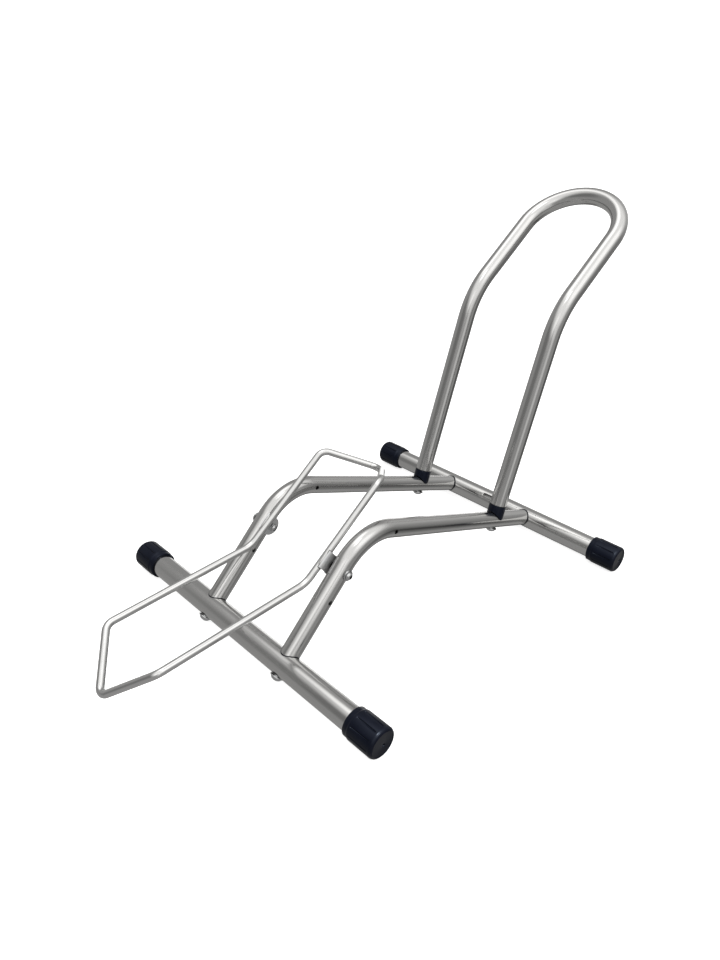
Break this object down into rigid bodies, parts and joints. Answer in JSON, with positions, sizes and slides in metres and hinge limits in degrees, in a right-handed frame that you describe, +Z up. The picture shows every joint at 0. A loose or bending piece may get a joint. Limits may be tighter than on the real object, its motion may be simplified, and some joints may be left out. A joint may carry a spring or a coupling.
{
  "type": "floor bike rack",
  "caption": "Floor rack for a bicycle wheel: tubular frame on crossbars with end caps, a leaning wheel hoop, and a rod cradle that rocks on pivot bolts.",
  "frame": {"origin": "on the floor under the middle of the rack's overall box", "axes": "+X towards the rack's right-hand side, seen from the end where the wheel rolls in; +Y from there towards the hoop; +Z up"},
  "size_m": [0.49, 0.903, 0.509],
  "materials": {
    "silver_paint": "satin metallic silver powder coat",
    "steel_rod": "bright smooth zinc",
    "zinc_hardware": "zinc plated",
    "black_plastic": "moulded, satin"
  },
  "bodies": {
    "rack_frame": {"front_crossbar": "silver_paint", "front_left_crossbar_screw": "zinc_hardware", "front_left_end_cap": "black_plastic", "front_left_threaded_plug": "zinc_hardware", "front_right_crossbar_screw": "zinc_hardware", "front_right_end_cap": "black_plastic", "front_right_threaded_plug": "zinc_hardware", "left_hoop_saddle": "black_plastic", "left_hoop_screw": "zinc_hardware", "left_hoop_threaded_plug": "zinc_hardware", "left_pivot_bolt": "zinc_hardware", "left_pivot_nut": "zinc_hardware", "left_pivot_spacer": "zinc_hardware", "left_pivot_washer": "zinc_hardware", "left_side_tube": "silver_paint", "rear_crossbar": "silver_paint", "rear_left_crossbar_screw": "zinc_hardware", "rear_left_end_cap": "black_plastic", "rear_left_threaded_plug": "zinc_hardware", "rear_right_crossbar_screw": "zinc_hardware", "rear_right_end_cap": "black_plastic", "rear_right_threaded_plug": "zinc_hardware", "right_hoop_saddle": "black_plastic", "right_hoop_screw": "zinc_hardware", "right_hoop_threaded_plug": "zinc_hardware", "right_pivot_bolt": "zinc_hardware", "right_pivot_nut": "zinc_hardware", "right_pivot_spacer": "zinc_hardware", "right_pivot_washer": "zinc_hardware", "right_side_tube": "silver_paint", "wheel_hoop": "silver_paint"},
    "cradle": {"cradle_rod": "steel_rod", "left_cradle_bracket": "zinc_hardware", "right_cradle_bracket": "zinc_hardware"}
  },
  "joints": [
    {"name": "cradle_pivot", "type": "hinge", "parent": "rack_frame", "child": "cradle", "pos_m": [0, -0.16096, 0.11543], "axis": [1, 0, 0], "range_deg": [-70, 8.9]}
  ]
}
